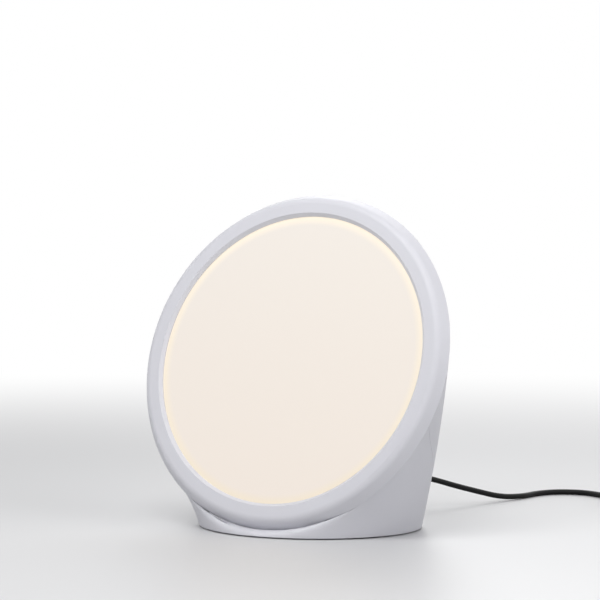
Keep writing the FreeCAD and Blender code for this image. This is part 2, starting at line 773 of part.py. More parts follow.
def key_board():
    """Circuit board behind the keys, with its switches, indicators and screws."""
    top = -pad_depth
    low = top - key_board_thickness
    board = stadium(key_board_half_width, controls_half_length + pad_margin / 2, low, top)
    for x, y in key_screw_places():
        board = board.cut(cylinder(small_screw[2] + hole_clearance, low - PAST, top + PAST, x, y))
    save("key_board", on_controls(board))
    switches = []
    for _, place in button_places:
        switch = block(switch_size[0], switch_size[1], top, top + switch_size[2], 0, place)
        switches.append(switch.cut(cylinder(switch_bore, top + switch_floor, top + FAR, 0, place)))
    save("key_switches", on_controls(Part.makeCompound(switches)))
    lamps = [block(indicator_led[1], indicator_led[0], top, top + indicator_led[2], x, indicator_place)
             for x in indicator_columns()]
    save("timer_leds", on_controls(Part.makeCompound(lamps)))
    pipes = [cylinder(indicator_radius, top + indicator_led[2] + pipe_gap, -controls_sink, x, indicator_place)
             for x in indicator_columns()]
    save("timer_windows", on_controls(Part.makeCompound(pipes)))
    fixings = [screw(small_screw, x, y, low, False) for x, y in key_screw_places()]
    save("key_board_screws", on_controls(Part.makeCompound(fixings)))


def along_y(radius, start, end, height=None):
    """Cylinder along Y, at the power socket's height."""
    level = jack_height if height is None else height
    return Part.makeCylinder(radius, end - start, V(0, start, level), Y_AXIS)


def power_socket():
    face = jack_flat + jack_flange
    inner = jack_flat - jack_length
    body_part = along_y(jack_radius, inner, jack_flat).fuse(along_y(jack_flange_radius, jack_flat, face))
    socket = body_part.cut(along_y(jack_bore, face - jack_bore_depth, face + PAST))
    pin = along_y(jack_pin, face - jack_bore_depth - PAST, face - jack_pin_recess)
    save("power_socket", joined(socket, [pin]))
    nut_face = jack_flat - jack_pad
    corners = [math.radians(60 * i) for i in range(7)]
    corners = [V(jack_nut_radius * math.cos(turn), nut_face, jack_height + jack_nut_radius * math.sin(turn))
               for turn in corners]
    nut = Part.Face(Part.makePolygon(corners)).extrude(V(0, -jack_nut_thickness, 0))
    save("socket_nut", nut.cut(along_y(jack_radius + thread_clearance, 0, FAR)))


def plug_start():
    return jack_flat + jack_flange + plug_gap


def cord_plug():
    """Plug in the socket, with its metal barrel and tapered relief."""
    start = plug_start()
    barrel = along_y(barrel_radius, start - barrel_length, start)
    save("plug_barrel", barrel.cut(along_y(barrel_bore, start - barrel_length - PAST, start - barrel_floor)))
    grip = along_y(plug_radius, start, start + plug_length)
    ends = [e for e in grip.Edges if e.Closed and len(e.Vertexes) == 1]
    save("cord_plug", grip.makeFillet(plug_round, ends))
    relief = Part.makeCone(relief_radius, cord_radius + relief_lip, relief_length,
                           V(0, start + plug_length, jack_height), Y_AXIS)
    save("plug_relief", relief)


def rounded_path(points):
    """Straight runs joined by tangent arcs, as large as the runs allow; also the arcs' radii."""
    corners = [V(*p) for p in points]
    edges = []
    radii = []
    here = corners[0]
    for before, corner, after in zip(corners, corners[1:], corners[2:]):
        inward = corner - before
        outward = after - corner
        turn = inward.getAngle(outward)
        cut = arc_share * min(inward.Length, outward.Length)
        radius = cut / math.tan(turn / 2)
        inward.normalize()
        outward.normalize()
        start = corner - inward * cut
        end = corner + outward * cut
        bisector = outward - inward
        bisector.normalize()
        middle = corner + bisector * (radius / math.cos(turn / 2) - radius)
        edges.append(Part.LineSegment(here, start).toShape())
        edges.append(Part.Arc(start, middle, end).toShape())
        radii.append(round(radius, 1))
        here = end
    edges.append(Part.LineSegment(here, corners[-1]).toShape())
    return Part.Wire(edges), radii


def tube(wire, radius, start, heading):
    """Round tube along a wire."""
    profile = Part.Wire([Part.Circle(start, heading, radius).toShape()])
    return wire.makePipeShell([profile], True, False)


def coil_axes():
    turn = math.radians(coil_heading_deg)
    heading = V(math.cos(turn), math.sin(turn), 0)
    left = V(-heading.y, heading.x, 0)
    return heading, left


def coil_centre():
    heading, left = coil_axes()
    return V(coil_start[0], coil_start[1], coil_floor) + left * coil_outer_radius


def coil_stations():
    """Reach and height of the coil at each half turn: in and out again, a layer at each reversal."""
    half_turns = 2 * coil_turns_per_layer
    reach = coil_outer_radius
    height = 0.0
    stations = [(reach, height)]
    for layer in range(coil_layers):
        step = -coil_pitch / 2 if layer % 2 == 0 else coil_pitch / 2
        for _ in range(half_turns if layer == 0 else half_turns - 1):
            reach += step
            stations.append((reach, height))
        if layer < coil_layers - 1:
            height += coil_layer
            stations.append((reach, height))
    return stations


def coil_path():
    """The coil's centre line: half-turn arcs between a short straight start and a straight end."""
    heading, left = coil_axes()
    centre = coil_centre()
    side = -1
    points = []
    for reach, height in coil_stations():
        points.append(centre + left * (side * reach) + V(0, 0, height))
        side = -side
    edges = [Part.LineSegment(points[0] - heading * coil_lead, points[0]).toShape()]
    forward = 1
    for start, end in zip(points, points[1:]):
        bulge = heading * (forward * (end - start).Length / 2)
        edges.append(Part.Arc(start, (start + end) * 0.5 + bulge, end).toShape())
        forward = -forward
    run = heading * (forward * coil_end_run)
    edges.append(Part.LineSegment(points[-1], points[-1] + run).toShape())
    return Part.Wire(edges), points, heading * forward


def least_self_gap(wire, diameter):
    """Smallest air gap between turns, measured on points along the centre line."""
    step = 2.0
    points = wire.discretize(Distance=step)
    apart = int(math.pi * diameter * 1.5 / step) + 1
    nearest = min((a - b).Length for i, a in enumerate(points) for b in points[i + apart:])
    return nearest - diameter


def free_cord():
    heading, _ = coil_axes()
    end = V(coil_start[0], coil_start[1], coil_floor) - heading * coil_lead
    points = list(cord_route) + [(end.x, end.y, end.z)]
    wire, radii = rounded_path(points)
    start = V(*points[0])
    cord = tube(wire, cord_radius, start, Y_AXIS)
    print("cord run", round(wire.Length), "mm, arc radii", radii)
    plain = math.pi * cord_radius ** 2 * wire.Length
    print("cord volume over section times length", round(cord.Volume / plain, 4))
    save("power_cord", cord)
    return wire.Length


def cord_coil():
    heading, _ = coil_axes()
    wire, points, _ = coil_path()
    start = points[0] - heading * coil_lead
    coil = tube(wire, cord_radius, start, heading)
    gap = least_self_gap(wire, cord_diameter)
    print("coil", round(wire.Length), "mm, least gap to itself", round(gap, 2))
    save("cord_coil", coil)
    return wire.Length


def coil_tie():
    """Flat band round the bundle, on the far side of the coil."""
    _, left = coil_axes()
    reaches = [reach for reach, _ in coil_stations()]
    inner = min(reaches) - cord_radius - tie_room
    outer = max(reaches) + cord_radius + tie_room
    height = (coil_layers - 1) * coil_layer + cord_diameter
    band = Part.makeBox(outer - inner + 2 * tie_thickness, tie_width, height + 2 * tie_thickness,
                        V(inner - tie_thickness, -tie_width / 2, 0))
    room = Part.makeBox(outer - inner, 2 * tie_width, height, V(inner, -tie_width, tie_thickness))
    tie = band.cut(room)
    tie.rotate(ORIGIN, Z_AXIS, math.degrees(math.atan2(left.y, left.x)))
    centre = coil_centre()
    tie.translate(V(centre.x, centre.y, 0))
    save("coil_tie", tie)


def wall_adapter():
    """Plug-in power supply at the cord's far end, lying on the table."""
    _, points, way = coil_path()
    level = points[-1].z
    start = points[-1] + way * coil_end_run
    turn = math.degrees(math.atan2(way.y, way.x))
    length, width, height = adapter_size
    case = Part.makeBox(length, width, height, V(adapter_relief_length, -width / 2, 0))
    case = case.makeFillet(adapter_round, [e for e in case.Edges if e.BoundBox.XLength > 1])
    slots = adapter_relief_length + length
    blades = []
    for side in (-1, 1):
        blade = Part.makeBox(blade_size[0], blade_size[2], blade_size[1],
                             V(slots, side * blade_pitch / 2 - blade_size[2] / 2,
                               height / 2 - blade_size[1] / 2))
        blades.append(blade)
    relief = Part.makeCone(cord_radius + relief_lip, relief_radius, adapter_relief_length,
                           V(0, 0, level), X_AXIS)
    for name, shape in (("adapter_case", case), ("adapter_blades", Part.makeCompound(blades)),
                        ("adapter_relief", relief)):
        shape.rotate(ORIGIN, Z_AXIS, turn)
        shape.translate(V(start.x, start.y, 0))
        save(name, shape)


def wire_group(name, routes, radius):
    """Insulated wires of one radius, each along its own rounded path."""
    wires = []
    for points in routes:
        path, _ = rounded_path(points)
        first = V(*points[0])
        wires.append(tube(path, radius, first, V(*points[1]) - first))
    save(name, Part.makeCompound(wires))


def ribbon(count, spacing):
    """Offsets of side-by-side wires."""
    return [(i - (count - 1) / 2) * spacing for i in range(count)]


def inner_wires():
    """Wires from the driver board to the light strip, the keys and the power socket."""
    lamp, keys, supply = connector_places()
    top = board_top + connector_size[2] + wire_gap
    slot = disc_point(0, wire_slot_inset - plate_radius, plate_back - wire_gap)
    radius, spacing = lamp_wire
    behind, above = lamp_wire_approach
    wire_group("lamp_wires", [
        [(lamp[0] + side, lamp[1], top), (lamp[0] + side, lamp[1], top + wire_rise),
         (lamp[0] / 2 + side, lamp[1] - lamp_wire_pass, top + wire_rise),
         (side, slot.y + behind, slot.z + above), (side, slot.y, slot.z)]
        for side in ribbon(2, spacing)], radius)
    radius, spacing = key_wire
    ahead, below = key_wire_approach
    drop = controls_half_length - key_wire_inset
    low = controls_origin - controls_out * (pad_depth + key_board_thickness + wire_gap)
    low += V(0, math.sin(controls_lean), -math.cos(controls_lean)) * drop
    wire_group("key_wires", [
        [(keys[0] + side, keys[1], top), (keys[0] + side, keys[1], top + wire_rise),
         (keys[0] / 2 + side, keys[1] + key_wire_pass, low.z - key_wire_drop),
         (side, low.y - ahead, low.z - below), (side, low.y, low.z)]
        for side in ribbon(4, spacing)], radius)
    radius, spacing = jack_wire
    back = jack_flat - jack_length - wire_gap
    bend, entry = jack_wire_approach
    wire_group("socket_wires", [
        [(side, supply[1], top), (side, supply[1], top + jack_wire_rise),
         (side, back - bend, top + jack_wire_rise), (side, back - entry, jack_height),
         (side, back, jack_height)]
        for side in ribbon(2, spacing)], radius)


os.makedirs("parts", exist_ok=True)
body_outer = body(0)
body_cavity = body(shell_wall)
controls_origin, controls_lean, controls_out = controls_frame(body_outer)
room_front, room_panel = bezel_room()
save("front_bezel", front_bezel())
light_panel()
light_strip()
standoffs()
save("base_shell", base_shell(body_outer, body_cavity, room_front, room_panel))
save("rear_housing", rear_housing(body_outer, body_cavity, room_front, room_panel))
base_cover(room_front)
ballast()
driver_board()
control_panel()
buttons()
key_board()
power_socket()
cord_plug()
inner_wires()
total = free_cord() + cord_coil()
coil_tie()
wall_adapter()
print("cord in all", round(total), "mm")
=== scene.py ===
# %% [markdown]
# # A light therapy lamp
# The imported model already holds every piece at its real size, in metres, with +Z up and the lit disc
# facing -Y. This notebook gives those pieces their finish, adds the cord, and models again the few pieces
# whose plain solids would look too simple close up. The first cell loads the model, keeps its record and
# moves each piece's place into its mesh.

# %% Load the model
import json
import math

import bmesh
import bpy
from mathutils import Matrix, Vector


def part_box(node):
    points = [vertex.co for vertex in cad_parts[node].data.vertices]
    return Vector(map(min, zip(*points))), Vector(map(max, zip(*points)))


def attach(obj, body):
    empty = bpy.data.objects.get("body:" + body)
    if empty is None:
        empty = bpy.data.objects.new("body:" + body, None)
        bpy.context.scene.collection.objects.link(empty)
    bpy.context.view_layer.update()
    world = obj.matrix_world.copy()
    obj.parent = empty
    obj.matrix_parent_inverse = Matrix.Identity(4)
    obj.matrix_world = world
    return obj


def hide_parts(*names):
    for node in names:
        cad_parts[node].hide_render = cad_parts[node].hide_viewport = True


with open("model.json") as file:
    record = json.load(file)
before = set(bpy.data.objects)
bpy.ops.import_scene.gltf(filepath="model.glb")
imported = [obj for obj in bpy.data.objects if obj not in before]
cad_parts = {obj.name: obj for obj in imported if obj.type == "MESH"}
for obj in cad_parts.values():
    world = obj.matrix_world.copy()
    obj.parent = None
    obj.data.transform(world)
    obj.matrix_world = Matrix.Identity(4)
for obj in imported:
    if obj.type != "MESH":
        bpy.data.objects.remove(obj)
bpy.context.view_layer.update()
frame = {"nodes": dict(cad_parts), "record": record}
nodes = frame["nodes"]

# %% [markdown]
# ## Camera
# The lamp is seen from its left front, a little above the table, from far enough away that the disc shows
# almost no perspective. A camera could be given its turn as three angles, but pointing it at a spot is
# easier to change: the way from the camera to the spot becomes the turn through `to_track_quat`. The
# studio's lamps need the same, so it is a function.

# %% Camera
CAMERA_PLACE = (0.8235, -1.4016, 0.2105)
CAMERA_TARGET = (0.0070, -0.0264, 0.1658)
LENS_MM = 133.86
SENSOR_MM = 36.0


def place_and_aim(name, data, place, target):
    """Object of a camera or a lamp, which stands at a place and points at a target."""
    way = Vector(target) - Vector(place)
    thing = bpy.data.objects.new(name, data)
    thing.location = place
    thing.rotation_euler = way.to_track_quat("-Z", "Y").to_euler()
    bpy.context.scene.collection.objects.link(thing)
    print(name, "stands", round(way.length, 3), "m from what it points at")
    return thing


camera_data = bpy.data.cameras.new("camera")
camera_data.lens = LENS_MM
camera_data.sensor_width = SENSOR_MM
bpy.context.scene.camera = place_and_aim("camera", camera_data, CAMERA_PLACE, CAMERA_TARGET)

# %% [markdown]
# ## The cord's route
# The cord leaves the socket straight, drops to the table and runs in loose curves to where it is put away.
# A mesh tube would need its bends worked out. A curve with a few listed points and a round bevel bends
# smoothly by itself, so the free run is a list of points, in millimetres as the solids are drawn.

# %% Route points
MM = 0.001
CORD_DIAMETER = 4.4
CORD_ROUTE = [
    (0.0, 106.3, 26.0), (0.0, 122.0, 26.0), (13.0, 137.0, 25.4), (27.0, 149.0, 21.0),
    (34.0, 165.0, 15.8), (43.0, 187.0, 9.6), (54.0, 209.0, 3.4), (62.5, 232.0, 2.2),
    (63.0, 256.0, 2.2), (73.0, 276.0, 2.2), (95.0, 282.0, 2.2), (116.0, 270.0, 2.2),
    (132.0, 258.5, 2.8),
]
print(len(CORD_ROUTE), "route points")

# %% [markdown]
# ## The coil's half turns
# The rest of the cord is wound up flat beside the lamp, two turns to a layer and four layers high. Turns
# could be drawn as whole rings, but real turns are one unbroken spiral. So each half turn goes from one
# station to the next, and the stations draw in and out again by half the pitch. Where they turn back, the
# cord climbs to the next layer.

# %% Coil stations
COIL_REACH = 30.0
COIL_PITCH = 5.9
COIL_LAYER = 4.9
COIL_LAYERS = 4
HALF_TURNS = 4


def coil_stations():
    """Reach and height at each half turn."""
    reach, height = COIL_REACH, 0.0
    stations = [(reach, height)]
    for layer in range(COIL_LAYERS):
        step = -COIL_PITCH / 2 if layer % 2 == 0 else COIL_PITCH / 2
        for _ in range(HALF_TURNS if layer == 0 else HALF_TURNS - 1):
            reach += step
            stations.append((reach, height))
        if layer < COIL_LAYERS - 1:
            height += COIL_LAYER
            stations.append((reach, height))
    return stations


print(len(coil_stations()) - 1, "half turns")

# %% [markdown]
# ## The coil's points
# Sixteen points to a turn keep a quadratic curve round. Such a curve touches the middles of its control
# polygon's sides and cuts inside its corners, so the points are pushed out by one over the cosine of half
# a step. The coil starts just past the route's last point and ends in a short straight run to the adapter.

# %% Coil points
COIL_START = Vector((146.0, 248.4, 2.8))
COIL_HEADING = math.radians(-35.8)
POINTS_PER_HALF = 8
COIL_LEAD = 4.4
COIL_END_RUN = 22.0

heading = Vector((math.cos(COIL_HEADING), math.sin(COIL_HEADING), 0))
left = Vector((-heading.y, heading.x, 0))
coil_centre = COIL_START + left * COIL_REACH


def coil_points():
    """Control points of the whole coil, with its straight end, and the way it ends."""
    places = []
    side = -1
    for reach, height in coil_stations():
        places.append(coil_centre + left * (side * reach) + Vector((0, 0, height)))
        side = -side
    step = math.pi / POINTS_PER_HALF
    push = 1 / math.cos(step / 2)
    points = [COIL_START - heading * COIL_LEAD, COIL_START]
    forward = 1
    for start, end in zip(places, places[1:]):
        middle = (start + end) / 2
        arm = (start - middle) * push
        bulge = heading * (forward * arm.length)
        for i in range(POINTS_PER_HALF):
            turn = (i + 0.5) * step
            points.append(middle + arm * math.cos(turn) + bulge * math.sin(turn))
        forward = -forward
    way = heading * forward
    points += [places[-1] + way * (COIL_END_RUN / 4), places[-1] + way * COIL_END_RUN]
    return points, way


wound, cord_end_way = coil_points()
print(len(wound), "coil points")

# %% [markdown]
# ## One curve for the whole cord
# Route and coil are the points of a single open NURBS curve of order 3, clamped at its ends. Both settings
# are made after the points exist, because an empty spline can't hold them. A round bevel of 1, scaled by
# the radius that each point carries, gives the curve its thickness. That keeps the curve's own box as small
# as the cord that it shows.

# %% Cord
STEPS_PER_POINT = 6
BEVEL_STEPS = 5

cord_points = [Vector(p) for p in CORD_ROUTE] + wound
cord_data = bpy.data.curves.new("lead", "CURVE")
cord_data.dimensions = "3D"
spline = cord_data.splines.new("NURBS")
spline.points.add(len(cord_points) - 1)
for point, place in zip(spline.points, cord_points):
    point.co = (place.x * MM, place.y * MM, place.z * MM, 1)
    point.radius = CORD_DIAMETER / 2 * MM
spline.order_u = 3
spline.use_endpoint_u = True
spline.resolution_u = STEPS_PER_POINT
cord_data.bevel_depth = 1.0
cord_data.bevel_resolution = BEVEL_STEPS
cord_data.use_fill_caps = True
lead = bpy.data.objects.new("lead", cord_data)
bpy.context.scene.collection.objects.link(lead)
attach(lead, "lamp")
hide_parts("power_cord", "cord_coil")
print("cord has", len(cord_points), "control points")

# %% [markdown]
# ## Helpers for values in a material
# A material is a tree of nodes: each node works something out, and links carry it to the next. Every node
# could be made and linked by hand, but the same few come back again and again. These functions make them,
# and each returns the output that the next node needs.


# %% Value helpers
def new_material(name):
    """Material with nodes, its tree and its shader."""
    material = bpy.data.materials.new(name)
    material.use_nodes = True
    tree = material.node_tree
    return material, tree, tree.nodes["Principled BSDF"]


def combined(tree, operation, *values):
    """Output of a calculation with one or two values."""
    node = tree.nodes.new("ShaderNodeMath")
    node.operation = operation
    for value, socket in zip(values, node.inputs):
        tree.links.new(value, socket)
    return node.outputs[0]


def ranged(tree, value, source=(0.0, 1.0), result=(0.0, 1.0), smooth=False):
    """Output of a value carried over from its source range to a result range."""
    node = tree.nodes.new("ShaderNodeMapRange")
    if smooth:
        node.interpolation_type = "SMOOTHSTEP"
    for socket, number in zip(("From Min", "From Max", "To Min", "To Max"), source + result):
        node.inputs[socket].default_value = number
    tree.links.new(value, node.inputs["Value"])
    return node.outputs["Result"]


# %% [markdown]
# ## Helpers for colours and rays
# Colours are mixed by a share between 0 and 1, and so are whole shaders. A studio also needs to know which
# rays look at a surface: the camera's own, or those that a mirror-like or a clear piece sends on. A Light
# Path node tells them apart, and the largest of its outputs is 1 for any of the kinds that are asked for.


# %% Colour and ray helpers
def mixed_colour(tree, share, low, high):
    """Output of a colour between low and high, which are colours or the outputs of nodes."""
    node = tree.nodes.new("ShaderNodeMix")
    node.data_type = "RGBA"
    tree.links.new(share, node.inputs["Factor"])
    for socket, colour in (("A", low), ("B", high)):
        if isinstance(colour, tuple):
            node.inputs[socket].default_value = colour
        else:
            tree.links.new(colour, node.inputs[socket])
    return node.outputs["Result"]


def mixed_shader(tree, share, first, second):
    """Output of two shaders mixed by a share."""
    node = tree.nodes.new("ShaderNodeMixShader")
    for value, socket in zip((share, first, second), node.inputs):
        tree.links.new(value, socket)
    return node.outputs[0]


def looked_at_by(tree, *kinds):
    """Output that is 1 for rays of the given kinds and 0 for all others."""
    rays = tree.nodes.new("ShaderNodeLightPath")
    looked_at = rays.outputs[kinds[0]]
    for kind in kinds[1:]:
        looked_at = combined(tree, "MAXIMUM", looked_at, rays.outputs[kind])
    return looked_at


# %% [markdown]
# ## Table
# The lamp stands on a plain pale table top. A single flat grid is enough, because nothing of its edge or
# underside shows.

# %% Table
TABLE_SIZE = 6.0
TABLE_COLOUR = (0.62, 0.62, 0.625, 1)
TABLE_ROUGHNESS = 0.42

table_mesh = bmesh.new()
bmesh.ops.create_grid(table_mesh, x_segments=2, y_segments=2, size=TABLE_SIZE / 2)
table_data = bpy.data.meshes.new("table")
table_mesh.to_mesh(table_data)
table_mesh.free()
table = bpy.data.objects.new("table", table_data)
bpy.context.scene.collection.objects.link(table)

table_paint, table_tree, table_shader = new_material("pale_table")
table_shader.inputs["Base Color"].default_value = TABLE_COLOUR
table_shader.inputs["Roughness"].default_value = TABLE_ROUGHNESS
table_data.materials.append(table_paint)
print("table top of", TABLE_SIZE, "m")

# %% [markdown]
# ## The table's far edge
# The table's far edge would draw a line across the picture. A studio hides it with a curved sheet of paper.
# Here the table turns into plain white with distance, but only for the camera and for mirror-like
# reflections, so it throws no extra light on the lamp and keeps the lamp's shadow.

# %% Far table
FADE_START = 0.45
FADE_END = 1.9

table_place = table_tree.nodes.new("ShaderNodeTexCoord")
table_reach = table_tree.nodes.new("ShaderNodeVectorMath")
table_reach.operation = "LENGTH"
table_tree.links.new(table_place.outputs["Object"], table_reach.inputs[0])
fade = ranged(table_tree, table_reach.outputs["Value"], source=(FADE_START, FADE_END), smooth=True)
table_looks = looked_at_by(table_tree, "Is Camera Ray", "Is Glossy Ray")
table_share = combined(table_tree, "MULTIPLY", fade, table_looks)
table_white = table_tree.nodes.new("ShaderNodeEmission")
table_mix = mixed_shader(table_tree, table_share, table_shader.outputs[0], table_white.outputs[0])
table_tree.links.new(table_mix, table_tree.nodes["Material Output"].inputs["Surface"])
print("table fades to white from", FADE_START, "to", FADE_END, "m")

# %% [markdown]
# ## World
# The world adds an even, slightly cool fill from all sides. It shows as white only where the camera, a
# mirror-like reflection or a clear piece looks straight at it, so the background stays white without more
# light on the lamp.

# %% World
WORLD_FILL = 0.36
FILL_COLOUR = (0.96, 0.97, 1.0, 1)
BACKDROP_COLOUR = (1, 1, 1, 1)

world = bpy.data.worlds.new("studio")
world.use_nodes = True
bpy.context.scene.world = world
world_tree = world.node_tree
world_tree.nodes.clear()
fill = world_tree.nodes.new("ShaderNodeBackground")
fill.inputs["Color"].default_value = FILL_COLOUR
fill.inputs["Strength"].default_value = WORLD_FILL
backdrop = world_tree.nodes.new("ShaderNodeBackground")
backdrop.inputs["Color"].default_value = BACKDROP_COLOUR
sky = world_tree.nodes.new("ShaderNodeOutputWorld")
world_looks = looked_at_by(world_tree, "Is Camera Ray", "Is Glossy Ray", "Is Transmission Ray")
world_mix = mixed_shader(world_tree, world_looks, fill.outputs[0], backdrop.outputs[0])
world_tree.links.new(world_mix, sky.inputs["Surface"])
print("world fill of", WORLD_FILL)

# %% [markdown]
# ## Lamps of the studio
# Three large area lamps give soft light with wide, weak shadows. The key lamp hangs above and in front of
# the disc, so that its rim is brightest at the top, and the other two lift the side and the back. The
# Standard view shows each colour about as it is written.


# %% Lamps of the studio
def soft_light(name, place, target, size, power):
    """Square area lamp that points at a spot."""
    data = bpy.data.lights.new(name, "AREA")
    data.shape = "SQUARE"
    data.size = size
    data.energy = power
    place_and_aim(name, data, place, target)


soft_light("key", place=(0.05, -0.62, 1.00), target=(0, 0, 0.16), size=0.7, power=7.6)
soft_light("side", place=(1.7, -0.1, 1.0), target=(0, 0, 0.15), size=1.2, power=9.0)
soft_light("back", place=(-0.5, 1.7, 1.3), target=(0, 0, 0.15), size=1.2, power=12.0)
bpy.context.scene.view_settings.view_transform = "Standard"

# %% [markdown]
# ## A plastic that isn't one flat colour
# Moulded plastic shows a faint cloudiness in its colour, small changes in its gloss and a fine grain. A
# picture of plastic could be laid on it, but that needs a flat map of every piece. All three come from
# noise in Object coordinates instead, which stay with the piece when it moves. Every finish but the lit
# window and the clear guide is made by this one function, and what differs is passed to it.

# %% Finish function
CLOUD_DETAIL = 4.0
GRAIN_DETAIL = 2.0
GRAIN_DEPTH = 0.0002
GLOSS_SPREAD = 0.04


def noise(tree, place, scale, detail):
    """Output of a noise whose spots get smaller as its scale grows."""
    node = tree.nodes.new("ShaderNodeTexNoise")
    node.inputs["Scale"].default_value = scale
    node.inputs["Detail"].default_value = detail
    tree.links.new(place, node.inputs["Vector"])
    return node.outputs["Fac"]


def finish(name, colour, roughness, shade=0.04, cloud=25.0, grain=900.0, bump=0.02, metallic=0.0):
    """Material with a cloudy colour, uneven gloss and a fine grain."""
    material, tree, shader = new_material(name)
    place = tree.nodes.new("ShaderNodeTexCoord").outputs["Object"]
    clouds = noise(tree, place, cloud, CLOUD_DETAIL)
    dark = (*[c * (1 - shade) for c in colour], 1)
    pale = (*[min(1.0, c * (1 + shade)) for c in colour], 1)
    tint = mixed_colour(tree, clouds, dark, pale)
    gloss = ranged(tree, clouds, result=(roughness - GLOSS_SPREAD, roughness + GLOSS_SPREAD))
    raised = tree.nodes.new("ShaderNodeBump")
    raised.inputs["Strength"].default_value = bump
    raised.inputs["Distance"].default_value = GRAIN_DEPTH
    tree.links.new(noise(tree, place, grain, GRAIN_DETAIL), raised.inputs["Height"])
    tree.links.new(tint, shader.inputs["Base Color"])
    tree.links.new(gloss, shader.inputs["Roughness"])
    tree.links.new(raised.outputs["Normal"], shader.inputs["Normal"])
    shader.inputs["Metallic"].default_value = metallic
    return material


# %% [markdown]
# ## Finishes of the outside
# The shell is a satin, slightly cool white with a grain so fine that it shows only as a soft sheen. The keys
# are smoother, the feet and the tie are dull rubber, and the cord and its adapter are black. A grain of 1400
# is under a millimetre across, as on a moulded surface.

# %% Finishes of the outside
CORD_SHINE = 0.2
FINISHES = {}


def add_finishes(looks):
    """Make the finish of each look and keep it under its name."""
    for name, look in looks.items():
        FINISHES[name] = finish(name, **look)
    print(len(FINISHES), "finishes so far")


add_finishes({
    "satin_white_shell": dict(colour=(0.67, 0.668, 0.71), roughness=0.46, shade=0.015, cloud=18.0,
                              grain=1400.0, bump=0.12),
    "grey_panel": dict(colour=(0.52, 0.52, 0.54), roughness=0.5, shade=0.03, cloud=30.0, grain=1500.0,
                       bump=0.25),
    "white_key": dict(colour=(0.78, 0.78, 0.80), roughness=0.38, shade=0.02, cloud=80.0, grain=1600.0,
                      bump=0.1),
    "mark_ink": dict(colour=(0.16, 0.16, 0.17), roughness=0.5, shade=0.05, cloud=60.0, grain=1500.0,
                     bump=0.1),
    "window_plastic": dict(colour=(0.85, 0.86, 0.82), roughness=0.2),
    "dark_rubber": dict(colour=(0.03, 0.03, 0.03), roughness=0.75, shade=0.15, cloud=60.0, bump=0.25),
    "black_cord": dict(colour=(0.004, 0.004, 0.004), roughness=0.5, shade=0.25, cloud=60.0, grain=700.0,
                       bump=0.2),
    "black_case": dict(colour=(0.016, 0.016, 0.018), roughness=0.5, shade=0.15, cloud=60.0, grain=1500.0,
                       bump=0.4),
})
cord_shader = FINISHES["black_cord"].node_tree.nodes["Principled BSDF"]
cord_shader.inputs["Specular IOR Level"].default_value = CORD_SHINE

# %% [markdown]
# ## Finishes of metal
# Plates, screws and spacers are bare metal. Metal has no colour of its own under the gloss: the shader's
# metallic value makes the colour tint the reflection instead.

# %% Finishes of metal
add_finishes({
    "steel_plate": dict(colour=(0.55, 0.56, 0.57), roughness=0.35, shade=0.05, cloud=40.0, grain=500.0,
                        bump=0.05, metallic=1.0),
    "steel_screw": dict(colour=(0.58, 0.58, 0.59), roughness=0.3, shade=0.05, cloud=200.0, grain=1500.0,
                        bump=0.05, metallic=1.0),
    "brass_spacer": dict(colour=(0.72, 0.52, 0.22), roughness=0.3, shade=0.05, cloud=200.0, grain=1500.0,
                         bump=0.05, metallic=1.0),
    "bright_metal": dict(colour=(0.75, 0.75, 0.74), roughness=0.18, shade=0.03, cloud=200.0, grain=1500.0,
                         bump=0.03, metallic=1.0),
})

# %% [markdown]
# ## Finishes of the inner parts
# What sits behind the window and in the base is seen only when the lamp is taken apart. It still gets its
# own colours, so that a foam pad, a board or a wire can be told from its neighbours.

# %% Finishes of the inner parts
add_finishes({
    "white_film": dict(colour=(0.85, 0.85, 0.85), roughness=0.5),
    "grey_foam": dict(colour=(0.12, 0.12, 0.13), roughness=0.9, shade=0.1, cloud=300.0, grain=800.0,
                      bump=0.5),
    "white_strip": dict(colour=(0.8, 0.8, 0.76), roughness=0.45),
    "led_cell": dict(colour=(0.9, 0.75, 0.3), roughness=0.25),
    "green_board": dict(colour=(0.02, 0.16, 0.06), roughness=0.3, shade=0.15, cloud=120.0),
    "black_part": dict(colour=(0.015, 0.015, 0.015), roughness=0.4, shade=0.2, cloud=100.0, grain=1200.0,
                       bump=0.15),
    "white_connector": dict(colour=(0.78, 0.76, 0.68), roughness=0.45),
    "wire_sleeve": dict(colour=(0.5, 0.03, 0.02), roughness=0.4),
})

# %% [markdown]
# ## Places on the disc
# The window's glow follows the disc, which leans back. Object coordinates run along the table, so a Mapping
# node moves them to the disc's centre and turns them into its plane. There X is to the right and Y is up the
# disc.

# %% Places on the disc
TILT = math.radians(18.0)
DISC_CENTRE = Vector((0, -0.0305, 0.1244))


def disc_place(tree):
    """Outputs of how far right and how far up the disc a point lies from its centre."""
    place = tree.nodes.new("ShaderNodeTexCoord")
    flat = tree.nodes.new("ShaderNodeMapping")
    flat.vector_type = "TEXTURE"
    flat.inputs["Location"].default_value = DISC_CENTRE
    flat.inputs["Rotation"].default_value = (math.pi / 2 - TILT, 0, 0)
    split = tree.nodes.new("ShaderNodeSeparateXYZ")
    tree.links.new(place.outputs["Object"], flat.inputs["Vector"])
    tree.links.new(flat.outputs["Vector"], split.inputs["Vector"])
    return split.outputs["X"], split.outputs["Y"]


# %% [markdown]
# ## The lit window
# The opal sheet glows almost evenly. It is a little cooler at the top and warmer at the bottom, and next
# to the bezel it has a thin bright, warm band, because the diodes sit right behind that edge. Lamps behind
# a clear sheet would be the real way, but they are slow to render and grainy. So the sheet itself glows:
# height makes the slow change, and distance from the disc's centre makes the band.

